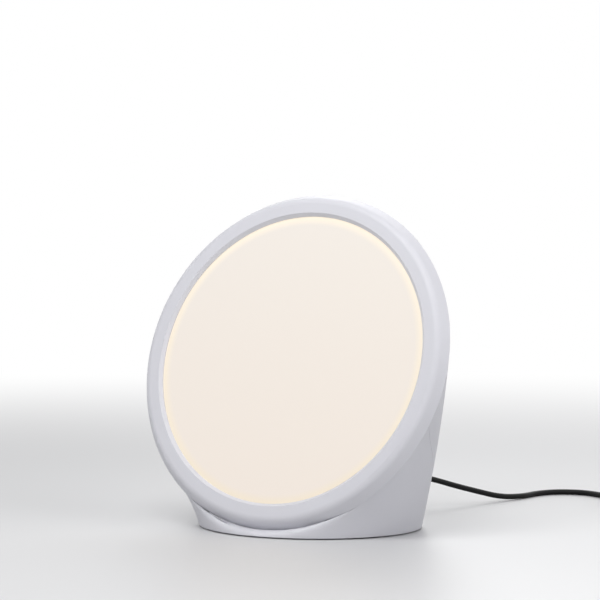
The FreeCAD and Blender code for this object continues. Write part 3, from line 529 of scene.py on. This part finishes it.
# %% Lit window
WINDOW_RADIUS = 0.1069
WINDOW_ROUGHNESS = 0.35
OPAL_COLOUR = (0.23, 0.22, 0.205, 1)
GLOW = 0.64
GLOW_LOW = (1.0, 0.885, 0.785, 1)
GLOW_HIGH = (1.0, 0.925, 0.845, 1)
BAND_LOW = (1.02, 0.88, 0.68, 1)
BAND_HIGH = (1.24, 1.10, 0.88, 1)
BAND_START = WINDOW_RADIUS - 0.0075
BAND_FULL = WINDOW_RADIUS - 0.0005


def lit_window(name):
    """Glowing opal sheet, warmer low down, with a bright band at its edge."""
    material, tree, shader = new_material(name)
    right, up = disc_place(tree)
    squares = [combined(tree, "MULTIPLY", side, side) for side in (right, up)]
    reach = combined(tree, "SQRT", combined(tree, "ADD", *squares))
    height = ranged(tree, up, source=(-WINDOW_RADIUS, WINDOW_RADIUS))
    edge = ranged(tree, reach, source=(BAND_START, BAND_FULL), smooth=True)
    middle = mixed_colour(tree, height, GLOW_LOW, GLOW_HIGH)
    band = mixed_colour(tree, height, BAND_LOW, BAND_HIGH)
    tree.links.new(mixed_colour(tree, edge, middle, band), shader.inputs["Emission Color"])
    shader.inputs["Emission Strength"].default_value = GLOW
    shader.inputs["Base Color"].default_value = OPAL_COLOUR
    shader.inputs["Roughness"].default_value = WINDOW_ROUGHNESS
    return material


FINISHES["warm_diffuser"] = lit_window("warm_diffuser")
print("window glows at", GLOW)

# %% [markdown]
# ## Clear acrylic
# The light guide behind the window is a clear sheet. Full transmission and the real bending of light in
# acrylic make it look like itself once the window is taken off.

# %% Clear acrylic
ACRYLIC_COLOUR = (0.95, 0.98, 0.99, 1)
ACRYLIC_ROUGHNESS = 0.05
ACRYLIC_BENDING = 1.49

FINISHES["clear_guide"], _, acrylic_shader = new_material("clear_guide")
acrylic_shader.inputs["Base Color"].default_value = ACRYLIC_COLOUR
acrylic_shader.inputs["Roughness"].default_value = ACRYLIC_ROUGHNESS
acrylic_shader.inputs["Transmission Weight"].default_value = 1.0
acrylic_shader.inputs["IOR"].default_value = ACRYLIC_BENDING
print(len(FINISHES), "finishes in all")

# %% [markdown]
# ## From a drawing to a piece
# Every new piece but the cord is drawn as a bmesh and then needs the same last steps: its doubles merged,
# its normals worked out again, soft shading that stays crisp at sharp edges, its finish, and the body that
# it moves with. One function does this, so that no piece misses a step.

# %% New piece
MERGE_REACH = 1e-6
SHARP_ANGLE = math.radians(35)


def new_piece(name, mesh, finish_name, body="lamp"):
    """Object of a finished bmesh, with its finish and the body it rides on."""
    bmesh.ops.remove_doubles(mesh, verts=mesh.verts, dist=MERGE_REACH)
    bmesh.ops.recalc_face_normals(mesh, faces=mesh.faces)
    for face in mesh.faces:
        face.smooth = True
    data = bpy.data.meshes.new(name)
    mesh.to_mesh(data)
    mesh.free()
    data.set_sharp_from_angle(angle=SHARP_ANGLE)
    piece = bpy.data.objects.new(name, data)
    bpy.context.scene.collection.objects.link(piece)
    data.materials.append(FINISHES[finish_name])
    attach(piece, body)
    return piece


# %% [markdown]
# ## Pieces turned on a lathe
# The plug's grip and the two strain reliefs are round pieces whose rings and ribs a plain cone lacks. Each
# could be a stack of cylinders, but a lathe is closer to how their mould is cut: a few points of half a
# section are joined by edges, and `bmesh.ops.spin` turns them once round an axis. The section starts and
# ends on the axis, so the piece is closed. Lengths along the axis and radii are in millimetres.

# %% Lathe
LATHE_STEPS = 48
BACKWARDS = Vector((0, 1, 0))


def lathe(section, start, way):
    """Bmesh of a section, as (distance along, radius) points, turned about the line from start along way."""
    mesh = bmesh.new()
    across = way.cross(Vector((0, 0, 1))).normalized()
    verts = [mesh.verts.new(start + (way * along + across * radius) * MM) for along, radius in section]
    edges = [mesh.edges.new(pair) for pair in zip(verts, verts[1:])]
    bmesh.ops.spin(mesh, geom=verts + edges, cent=start, axis=way, dvec=(0, 0, 0), angle=2 * math.pi,
                   steps=LATHE_STEPS, use_merge=True)
    return mesh


# %% [markdown]
# ## Strain reliefs
# A relief is soft rubber that thins towards the cord, with ring grooves that let it bend a little at a
# time. A loop makes its section: for each groove there are two points at the full radius and two at its
# bottom. Half a pitch is left over, and it makes the thick end's plain stretch longer than the ribs.

# %% Section of a relief
RELIEF_THICK = 3.7
RELIEF_THIN = 2.7
RELIEF_LENGTH = 14.0
RELIEF_RIBS = 6
PITCHES_OVER = 0.5
FIRST_GROOVE = 0.75
RIB_GROOVE = 0.5
RIB_SOFTEN = 0.15


def ribbed_section():
    """Half section of a relief, thick end first, with grooves half a pitch wide."""
    pitch = RELIEF_LENGTH / (RELIEF_RIBS + PITCHES_OVER)
    section = [(0.0, 0.0), (0.0, RELIEF_THICK)]
    for i in range(RELIEF_RIBS):
        low = (i + FIRST_GROOVE) * pitch
        high = low + pitch / 2
        for along, drop in ((low - RIB_SOFTEN, 0), (low, RIB_GROOVE),
                            (high, RIB_GROOVE), (high + RIB_SOFTEN, 0)):
            radius = RELIEF_THICK + (RELIEF_THIN - RELIEF_THICK) * along / RELIEF_LENGTH
            section.append((along, radius - drop))
    return section + [(RELIEF_LENGTH, RELIEF_THIN), (RELIEF_LENGTH, 0.0)]


print(len(ribbed_section()), "points in a relief's section")

# %% [markdown]
# ## The two reliefs in place
# One relief sits behind the plug, and its place comes from the model's own plug and relief. The other
# stands between the cord's end and the adapter. Its thick end is at the adapter, so it starts one relief's
# length past the cord's last point and runs back towards it.

# %% Reliefs
plug_low, plug_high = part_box("cord_plug")
jack_z = (plug_low[2] + plug_high[2]) / 2
relief_low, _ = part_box("plug_relief")
plug_relief_start = Vector((0, relief_low[1], jack_z))
plug_relief = new_piece("ribbed_relief", lathe(ribbed_section(), plug_relief_start, BACKWARDS), "black_cord")
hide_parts("plug_relief")

relief_root = wound[-1] * MM + cord_end_way * (RELIEF_LENGTH * MM)
relief_mesh = lathe(ribbed_section(), relief_root, -cord_end_way)
adapter_relief = new_piece("adapter_ribbed_relief", relief_mesh, "black_cord")
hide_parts("adapter_relief")
print("two reliefs of", RELIEF_RIBS, "ribs")

# %% [markdown]
# ## Plug grip
# The plug's moulded body has softened ends and a waist with three rings for the fingers. Its section is
# turned on the same lathe. Each softened end is a quarter circle in four steps, and each ring is a short
# groove with sloping sides.

# %% Plug grip
GRIP_RADIUS = 5.0
GRIP_SOFTEN = 0.8
SOFTEN_STEPS = 4
GRIP_WAIST = 0.6
GRIP_RINGS = 3
RING_PITCH = 3.0
RING_SLOPE = 0.4
RING_WIDE = 2.0


def grip_section(length):
    """Half section of the grip, plug end first."""
    turns = [i * math.pi / 2 / SOFTEN_STEPS for i in range(SOFTEN_STEPS + 1)]
    corner = [(GRIP_SOFTEN * (1 - math.cos(turn)), GRIP_RADIUS - GRIP_SOFTEN * (1 - math.sin(turn)))
              for turn in turns]
    section = [(0.0, 0.0)] + corner
    waist_start = (length - GRIP_RINGS * RING_PITCH) / 2
    for i in range(GRIP_RINGS):
        along = waist_start + i * RING_PITCH
        section += [(along, GRIP_RADIUS), (along + RING_SLOPE, GRIP_RADIUS - GRIP_WAIST),
                    (along + RING_WIDE - RING_SLOPE, GRIP_RADIUS - GRIP_WAIST),
                    (along + RING_WIDE, GRIP_RADIUS)]
    section += [(length - along, radius) for along, radius in reversed(corner)]
    return section + [(length, 0.0)]


grip_length = (plug_high[1] - plug_low[1]) / MM
grip_mesh = lathe(grip_section(grip_length), Vector((0, plug_low[1], jack_z)), BACKWARDS)
plug_grip = new_piece("plug_grip", grip_mesh, "black_cord")
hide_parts("cord_plug")
print("plug grip", round(grip_length, 1), "mm long")

# %% [markdown]
# ## Wall adapter
# The adapter's case is two moulded halves with rounded edges, a fine parting line between them and a
# shallow bare recess where such a case has its label. It starts as a cube at its real size. A bevel rounds
# the edges, two cuts mark the parting line, and insets sink the line and the recess.

# %% Adapter case
CASE_SIZE = Vector((64.0, 44.0, 30.0))
CASE_ROUND = 4.0
ROUND_SEGMENTS = 6
CASE_LINE = 0.5
CASE_LINE_DEEP = 0.4
CASE_LINE_SLOPE = 0.02
LABEL_EDGE = 5.0
LABEL_DEEP = 0.35
LABEL_SLOPE = 0.3
CUT_TOLERANCE = 1e-7

case = bmesh.new()
bmesh.ops.create_cube(case, size=1.0)
bmesh.ops.scale(case, vec=CASE_SIZE * MM, verts=case.verts)
bmesh.ops.bevel(case, geom=case.edges[:], offset=CASE_ROUND * MM, offset_type="OFFSET",
                segments=ROUND_SEGMENTS, profile=0.5, affect="EDGES", material=-1)
for side in (-1, 1):
    bmesh.ops.bisect_plane(case, geom=case.verts[:] + case.edges[:] + case.faces[:], dist=CUT_TOLERANCE,
                           plane_co=(0, 0, side * CASE_LINE / 2 * MM), plane_no=(0, 0, 1))
line = [f for f in case.faces if abs(f.calc_center_median().z) < CASE_LINE / 4 * MM]
bmesh.ops.inset_region(case, faces=line, thickness=CASE_LINE_SLOPE * MM, depth=-CASE_LINE_DEEP * MM,
                       use_even_offset=True)
top = max(case.faces, key=lambda f: f.normal.z * f.calc_area())
bmesh.ops.inset_region(case, faces=[top], thickness=LABEL_EDGE * MM, depth=0)
bmesh.ops.inset_region(case, faces=[top], thickness=LABEL_SLOPE * MM, depth=-LABEL_DEEP * MM)
print("adapter case drawn with", len(case.faces), "faces")

# %% [markdown]
# ## The adapter in place
# The case was drawn at the origin, which keeps its cuts simple. It is now turned to the way the cord ends
# and moved past the relief. The place goes into the mesh itself, so that the object stays at the origin.

# %% Place the adapter
case_turn = Matrix.Rotation(math.atan2(cord_end_way.y, cord_end_way.x), 4, "Z")
case_middle = relief_root + cord_end_way * (CASE_SIZE.x / 2 * MM)
case_place = Matrix.Translation((case_middle.x, case_middle.y, CASE_SIZE.z / 2 * MM))
bmesh.ops.transform(case, matrix=case_place @ case_turn, verts=case.verts)
adapter = new_piece("adapter_shell", case, "black_case")
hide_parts("adapter_case")
print("adapter stands at", [round(c, 3) for c in case_middle])

# %% [markdown]
# ## Coil tie
# The tie is a soft flat band round the bundle of turns, with bent corners. It could be swept along a path,
# but a cube is simpler: two of its sides are taken away, so a loop of four is left, the four bends are
# bevelled, and solidify gives the band its thickness. Solidify needs to know which way is out, so the band's
# top face is looked at first.

# %% Coil tie
TIE_THICK = 0.6
TIE_WIDE = 4.0
TIE_ROOM = 0.8
TIE_BEND = 2.0

reaches = [reach for reach, _ in coil_stations()]
tie_inner = min(reaches) - CORD_DIAMETER / 2 - TIE_ROOM - TIE_THICK
tie_outer = max(reaches) + CORD_DIAMETER / 2 + TIE_ROOM + TIE_THICK
tie_height = (COIL_LAYERS - 1) * COIL_LAYER + CORD_DIAMETER + 2 * TIE_THICK
band = bmesh.new()
bmesh.ops.create_cube(band, size=1.0)
bmesh.ops.delete(band, geom=[f for f in band.faces if abs(f.normal.y) > 0.5], context="FACES_ONLY")
bmesh.ops.scale(band, vec=Vector((tie_outer - tie_inner, TIE_WIDE, tie_height)) * MM, verts=band.verts)
bends = [e for e in band.edges if abs(e.verts[0].co.y - e.verts[1].co.y) > MM]
bmesh.ops.bevel(band, geom=bends, offset=TIE_BEND * MM, offset_type="OFFSET", segments=ROUND_SEGMENTS,
                profile=0.5, affect="EDGES", material=-1)
bmesh.ops.recalc_face_normals(band, faces=band.faces)
band_top = max(band.faces, key=lambda f: f.calc_center_median().z)
if band_top.normal.z < 0:
    bmesh.ops.reverse_faces(band, faces=band.faces)
bmesh.ops.solidify(band, geom=band.faces[:], thickness=TIE_THICK * MM)
print("tie", round(tie_outer - tie_inner, 1), "by", round(tie_height, 1), "mm")

# %% [markdown]
# ## The tie in place
# The band goes round one side of the coil. It is moved out from the origin by the coil's reach, turned to
# the side across from where the coil starts, and then moved to the coil.

# %% Place the tie
tie_place = Vector(((tie_inner + tie_outer) / 2, 0, tie_height / 2))
tie_turn = Matrix.Rotation(math.atan2(left.y, left.x), 3, "Z")
bmesh.ops.translate(band, vec=tie_place * MM, verts=band.verts)
bmesh.ops.rotate(band, cent=(0, 0, 0), matrix=tie_turn, verts=band.verts)
bmesh.ops.translate(band, vec=Vector((coil_centre.x, coil_centre.y, 0)) * MM, verts=band.verts)
tie = new_piece("tie_band", band, "dark_rubber")
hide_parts("coil_tie")
print("tie has", len(tie.data.polygons), "faces")

# %% [markdown]
# ## Facts of the cord
# The cord leaves the plug's relief straight back and ends at the adapter.

# %% [markdown]
# ## Seal under the bezel
# Low down, the base's lip stands a few millimetres off the bezel's edge for a short stretch on each side. A
# soft seal in the shell's own colour closes it, so no dark slot shows. It could be two short pieces, but one
# that runs on under the bezel is simpler. Its round section is spun about the disc's axis.

# %% Rim seal
SEAL_RADIUS = 125.5
SEAL_HEIGHT = -5.6
SEAL_THICK = 0.95
SEAL_START = -112.5
SEAL_SWEEP = 45.0
SEAL_SIDES = 12
SEAL_STEPS = 48

disc_out = Vector((0, -math.cos(TILT), math.sin(TILT)))
disc_up = Vector((0, math.sin(TILT), math.cos(TILT)))
seal_turn = math.radians(SEAL_START)
seal_way = Vector((1, 0, 0)) * math.cos(seal_turn) + disc_up * math.sin(seal_turn)
seal_centre = DISC_CENTRE + (seal_way * SEAL_RADIUS + disc_out * SEAL_HEIGHT) * MM
across_seal = Matrix((seal_way, disc_out, seal_way.cross(disc_out))).transposed().to_4x4()
seal = bmesh.new()
bmesh.ops.create_circle(seal, cap_ends=True, segments=SEAL_SIDES, radius=SEAL_THICK * MM,
                        matrix=Matrix.Translation(seal_centre) @ across_seal)
bmesh.ops.spin(seal, geom=seal.verts[:] + seal.edges[:] + seal.faces[:], cent=DISC_CENTRE, axis=disc_out,
               dvec=(0, 0, 0), angle=math.radians(SEAL_SWEEP), steps=SEAL_STEPS, use_duplicate=False)
rim_seal = new_piece("rim_seal", seal, "satin_white_shell")
seal_across = [v.co.x for v in rim_seal.data.vertices]
print("rim seal from", round(min(seal_across), 3), "to", round(max(seal_across), 3), "m across")

# %% [markdown]
# ## Where the marks go
# Each key gets a small raised mark, drawn flat at the origin and then moved on to the key. The key's top
# could be typed in, but it is found from the key's own mesh, so that the mark follows the key wherever the
# model puts it. The keys slide inwards, so the way out of the panel is the other way along their joints.

# %% Places of the keys
TOP_TOLERANCE = 0.00005

key_out = -Vector(frame["record"]["behaviour"]["joints"][0]["axis"]).normalized()
key_up = key_out.cross(Vector((1, 0, 0))).normalized()
if key_up.z < 0:
    key_up = -key_up


def key_top(name):
    """Matrix from a flat drawing, with Z out of the panel, to the top of a key."""
    spots = [v.co for v in nodes[name].data.vertices]
    high = max(s.dot(key_out) for s in spots)
    rim = [s for s in spots if s.dot(key_out) > high - TOP_TOLERANCE]
    middle = Vector((0, 0, 0))
    for way in (Vector((1, 0, 0)), key_up):
        reach = [s.dot(way) for s in rim]
        middle += way * (min(reach) + max(reach)) / 2
    middle += key_out * high
    right = key_up.cross(key_out)
    return Matrix.Translation(middle) @ Matrix((right, key_up, key_out)).transposed().to_4x4()


print("keys face", [round(c, 3) for c in key_out])

# %% [markdown]
# ## Rings and bars
# The marks are made of two shapes, with one width of line. A ring is a small rectangle spun about the
# key's axis, and it can stop short of a full turn. A bar is a thin box. Both sink a little into the key, so
# that no gap shows under them.

# %% Drawing rings and bars
MARK_HIGH = 0.12
MARK_SINK = 0.05
MARK_LINE = 0.45
MARK_STEPS = 40


def ring(mesh, radius, start=0.0, sweep=360.0):
    """Ring, or part of one, of the marks' line width."""
    turn = Matrix.Rotation(math.radians(start), 3, "Z")
    spots = [(radius - MARK_LINE / 2, -MARK_SINK), (radius + MARK_LINE / 2, -MARK_SINK),
             (radius + MARK_LINE / 2, MARK_HIGH), (radius - MARK_LINE / 2, MARK_HIGH)]
    verts = [mesh.verts.new(turn @ (Vector((x, 0, z)) * MM)) for x, z in spots]
    face = mesh.faces.new(verts)
    whole = sweep >= 360.0
    bmesh.ops.spin(mesh, geom=[face] + face.edges[:] + verts, cent=(0, 0, 0), axis=(0, 0, 1),
                   dvec=(0, 0, 0), angle=math.radians(sweep), steps=MARK_STEPS, use_merge=whole)
    if whole and face.is_valid:
        bmesh.ops.delete(mesh, geom=[face], context="FACES_ONLY")


def bar(mesh, length, x=0.0, y=0.0, turn=0.0):
    """Bar whose middle is at x, y."""
    made = bmesh.ops.create_cube(mesh, size=1.0)["verts"]
    bar_turn = Matrix.Rotation(math.radians(turn), 3, "Z")
    bmesh.ops.scale(mesh, vec=Vector((length, MARK_LINE, MARK_HIGH + MARK_SINK)) * MM, verts=made)
    bmesh.ops.rotate(mesh, cent=(0, 0, 0), matrix=bar_turn, verts=made)
    bmesh.ops.translate(mesh, vec=Vector((x, y, (MARK_HIGH - MARK_SINK) / 2)) * MM, verts=made)


# %% [markdown]
# ## The five drawings
# The marks are signs that any maker uses: an open ring with a bar for power, a half-filled disc for the
# light's colour, plus and minus for brightness, and a clock face for the timer. The half disc is a whole one
# that a plane cuts in two. The cut leaves it open, so the edges along the cut are filled again.

# %% Drawings
MARK_RADIUS = 2.0
PLUS_LENGTH = 4.0
POWER_START = 125.0
POWER_SWEEP = 290.0
HALF_RADIUS = 1.5


def power_mark(mesh):
    """Open ring with an upright bar in its gap."""
    ring(mesh, MARK_RADIUS, start=POWER_START, sweep=POWER_SWEEP)
    bar(mesh, length=1.9, y=1.5, turn=90.0)


def colour_mark(mesh):
    """Ring round a half disc."""
    ring(mesh, MARK_RADIUS)
    made = bmesh.ops.create_cone(mesh, cap_ends=True, segments=MARK_STEPS, radius1=HALF_RADIUS * MM,
                                 radius2=HALF_RADIUS * MM, depth=(MARK_HIGH + MARK_SINK) * MM)["verts"]
    bmesh.ops.translate(mesh, vec=(0, 0, (MARK_HIGH - MARK_SINK) / 2 * MM), verts=made)
    faces = {f for v in made for f in v.link_faces}
    edges = {e for v in made for e in v.link_edges}
    cut = bmesh.ops.bisect_plane(mesh, geom=made + list(edges) + list(faces), dist=CUT_TOLERANCE,
                                 plane_co=(0, 0, 0), plane_no=(1, 0, 0), clear_outer=True)["geom_cut"]
    bmesh.ops.contextual_create(mesh, geom=[e for e in cut if isinstance(e, bmesh.types.BMEdge)])


def brighter_mark(mesh):
    """Plus."""
    bar(mesh, PLUS_LENGTH)
    bar(mesh, PLUS_LENGTH, turn=90.0)


def dimmer_mark(mesh):
    """Minus."""
    bar(mesh, PLUS_LENGTH)


def timer_mark(mesh):
    """Clock face with two hands."""
    ring(mesh, MARK_RADIUS)
    bar(mesh, length=1.3, y=0.55, turn=90.0)
    bar(mesh, length=1.0, x=0.4)


# %% [markdown]
# ## Marks on the keys
# Each drawing is moved on to its key and rides on that key's own body, so it sinks with the key when it is
# pressed.

# %% Marks
MARKS = {"power": power_mark, "colour": colour_mark, "brighter": brighter_mark, "dimmer": dimmer_mark,
         "timer": timer_mark}
for key, draw in MARKS.items():
    drawing = bmesh.new()
    draw(drawing)
    bmesh.ops.transform(drawing, matrix=key_top(key + "_button"), verts=drawing.verts)
    mark = new_piece(key + "_mark", drawing, "mark_ink", key + "_button_key")
print(len(MARKS), "marks")

# %% [markdown]
# ## Put the finishes on
# The record names a material for each of the model's pieces, and the finishes above go by these names. So
# a loop can hand them out, and no piece is forgotten. The cord is a curve and takes its finish by itself.

# %% Put the finishes on
for part in frame["record"]["subparts"]:
    node = nodes[part["node"]]
    node.data.materials.clear()
    node.data.materials.append(FINISHES[part["material_slot"]])
cord_data.materials.append(FINISHES["black_cord"])
